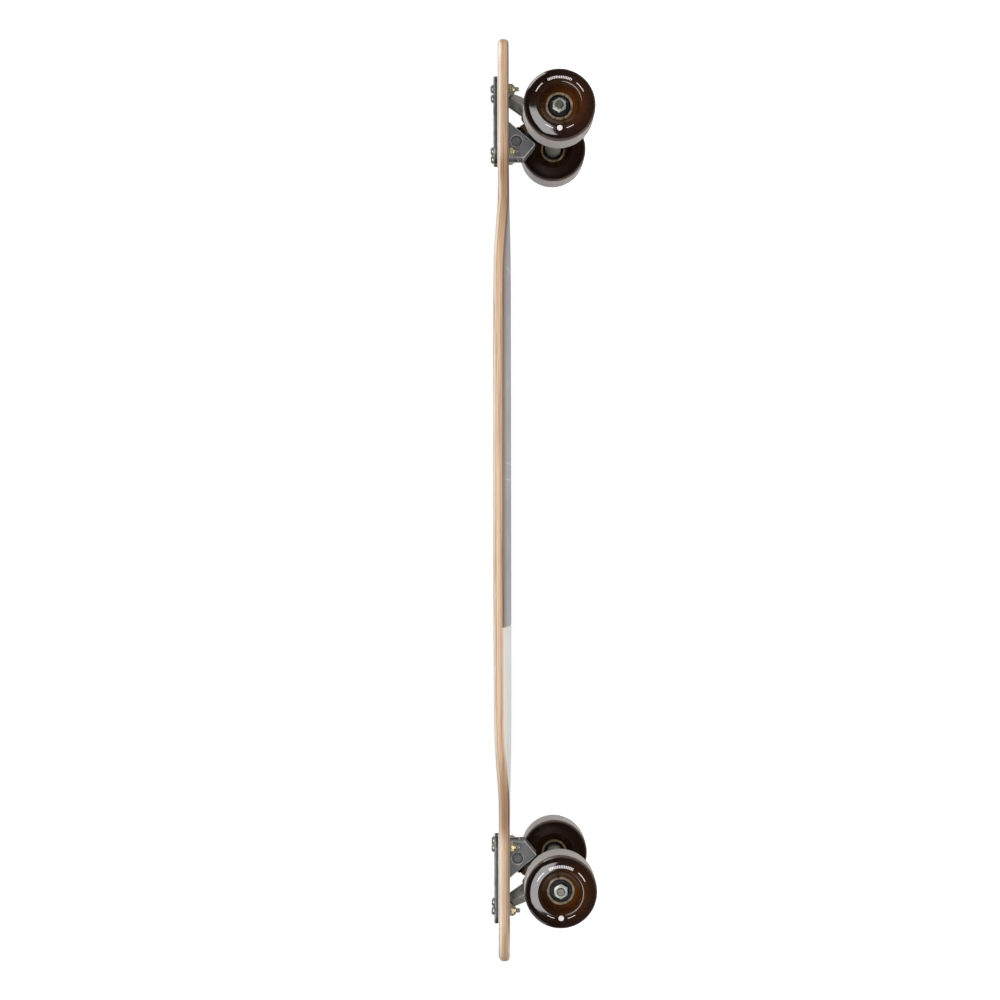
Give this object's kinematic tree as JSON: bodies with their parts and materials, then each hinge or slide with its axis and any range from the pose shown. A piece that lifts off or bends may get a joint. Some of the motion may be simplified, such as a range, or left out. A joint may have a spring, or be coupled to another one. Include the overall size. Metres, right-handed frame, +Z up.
{
  "type": "longboard skateboard",
  "caption": "Drop-through longboard: a dished wood deck with wheel cut-outs, leaning cast trucks with sprung urethane bushings, and wide dark wheels on ball bearings.",
  "frame": {"origin": "on the road under the middle of the deck", "axes": "+X along the board to the front, +Y to the left, +Z up"},
  "size_m": [0.9408, 0.2568, 0.1019],
  "materials": {
    "deck_wood": "laminated veneer, clear satin varnish, painted underside",
    "grip_clear": "clear grit sheet over wood",
    "baseplate_metal": "cast, gun-metal satin",
    "hanger_metal": "cast, grey satin",
    "pivot_cup_plastic": "moulded",
    "axle_steel": "drawn bar, oiled",
    "kingpin_steel": "zinc plated",
    "washer_steel": "zinc plated",
    "cup_washer_steel": "blackened",
    "axle_nut_zinc": "bright zinc",
    "bolt_steel": "zinc plated",
    "nut_brass": "yellow plated",
    "bushing_urethane": "cast urethane, satin",
    "wheel_urethane": "cast translucent urethane, ground tread",
    "core_plastic": "moulded",
    "bearing_steel": "ground",
    "shield_rubber": "moulded",
    "ball_steel": "polished",
    "cage_plastic": "moulded",
    "spacer_aluminium": "turned"
  },
  "bodies": {
    "board": {"deck": "deck_wood", "grip_sheet": "grip_clear", "front_baseplate": "baseplate_metal", "front_pivot_cup": "pivot_cup_plastic", "front_kingpin": "kingpin_steel", "front_kingpin_nut": "kingpin_steel", "front_boardside_bushing": "bushing_urethane", "front_roadside_bushing": "bushing_urethane", "front_cup_washers": "cup_washer_steel", "front_mounting_bolts": "bolt_steel", "front_mounting_nuts": "nut_brass", "rear_baseplate": "baseplate_metal", "rear_pivot_cup": "pivot_cup_plastic", "rear_kingpin": "kingpin_steel", "rear_kingpin_nut": "kingpin_steel", "rear_boardside_bushing": "bushing_urethane", "rear_roadside_bushing": "bushing_urethane", "rear_cup_washers": "cup_washer_steel", "rear_mounting_bolts": "bolt_steel", "rear_mounting_nuts": "nut_brass"},
    "front_truck": {"front_hanger": "hanger_metal", "front_axle": "axle_steel", "front_speed_rings": "washer_steel", "front_axle_nuts": "axle_nut_zinc", "front_left_bearing_inner_races": "bearing_steel", "front_left_bearing_spacer": "spacer_aluminium", "front_right_bearing_inner_races": "bearing_steel", "front_right_bearing_spacer": "spacer_aluminium"},
    "rear_truck": {"rear_hanger": "hanger_metal", "rear_axle": "axle_steel", "rear_speed_rings": "washer_steel", "rear_axle_nuts": "axle_nut_zinc", "rear_left_bearing_inner_races": "bearing_steel", "rear_left_bearing_spacer": "spacer_aluminium", "rear_right_bearing_inner_races": "bearing_steel", "rear_right_bearing_spacer": "spacer_aluminium"},
    "front_left_roller": {"front_left_wheel": "wheel_urethane", "front_left_wheel_core": "core_plastic", "front_left_bearing_outer_races": "bearing_steel", "front_left_bearing_shields": "shield_rubber", "front_left_bearing_balls": "ball_steel", "front_left_bearing_cages": "cage_plastic"},
    "front_right_roller": {"front_right_wheel": "wheel_urethane", "front_right_wheel_core": "core_plastic", "front_right_bearing_outer_races": "bearing_steel", "front_right_bearing_shields": "shield_rubber", "front_right_bearing_balls": "ball_steel", "front_right_bearing_cages": "cage_plastic"},
    "rear_left_roller": {"rear_left_wheel": "wheel_urethane", "rear_left_wheel_core": "core_plastic", "rear_left_bearing_outer_races": "bearing_steel", "rear_left_bearing_shields": "shield_rubber", "rear_left_bearing_balls": "ball_steel", "rear_left_bearing_cages": "cage_plastic"},
    "rear_right_roller": {"rear_right_wheel": "wheel_urethane", "rear_right_wheel_core": "core_plastic", "rear_right_bearing_outer_races": "bearing_steel", "rear_right_bearing_shields": "shield_rubber", "rear_right_bearing_balls": "ball_steel", "rear_right_bearing_cages": "cage_plastic"}
  },
  "joints": [
    {"name": "front_steer", "type": "hinge", "parent": "board", "child": "front_truck", "pos_m": [0.38692, 0, 0.0531], "axis": [0.6428, 0, 0.766], "range_deg": [-20, 20], "stiffness_Nm_per_rad": 60, "deforming": ["front_boardside_bushing", "front_roadside_bushing"]},
    {"name": "rear_steer", "type": "hinge", "parent": "board", "child": "rear_truck", "pos_m": [-0.38692, 0, 0.0531], "axis": [-0.6428, 0, 0.766], "range_deg": [-20, 20], "stiffness_Nm_per_rad": 60, "deforming": ["rear_boardside_bushing", "rear_roadside_bushing"]},
    {"name": "front_left_spin", "type": "hinge", "parent": "front_truck", "child": "front_left_roller", "pos_m": [0.378, 0.103, 0.035], "axis": [0, 1, 0], "continuous": true},
    {"name": "front_right_spin", "type": "hinge", "parent": "front_truck", "child": "front_right_roller", "pos_m": [0.378, -0.103, 0.035], "axis": [0, 1, 0], "continuous": true},
    {"name": "rear_left_spin", "type": "hinge", "parent": "rear_truck", "child": "rear_left_roller", "pos_m": [-0.378, 0.103, 0.035], "axis": [0, 1, 0], "continuous": true},
    {"name": "rear_right_spin", "type": "hinge", "parent": "rear_truck", "child": "rear_right_roller", "pos_m": [-0.378, -0.103, 0.035], "axis": [0, 1, 0], "continuous": true}
  ]
}
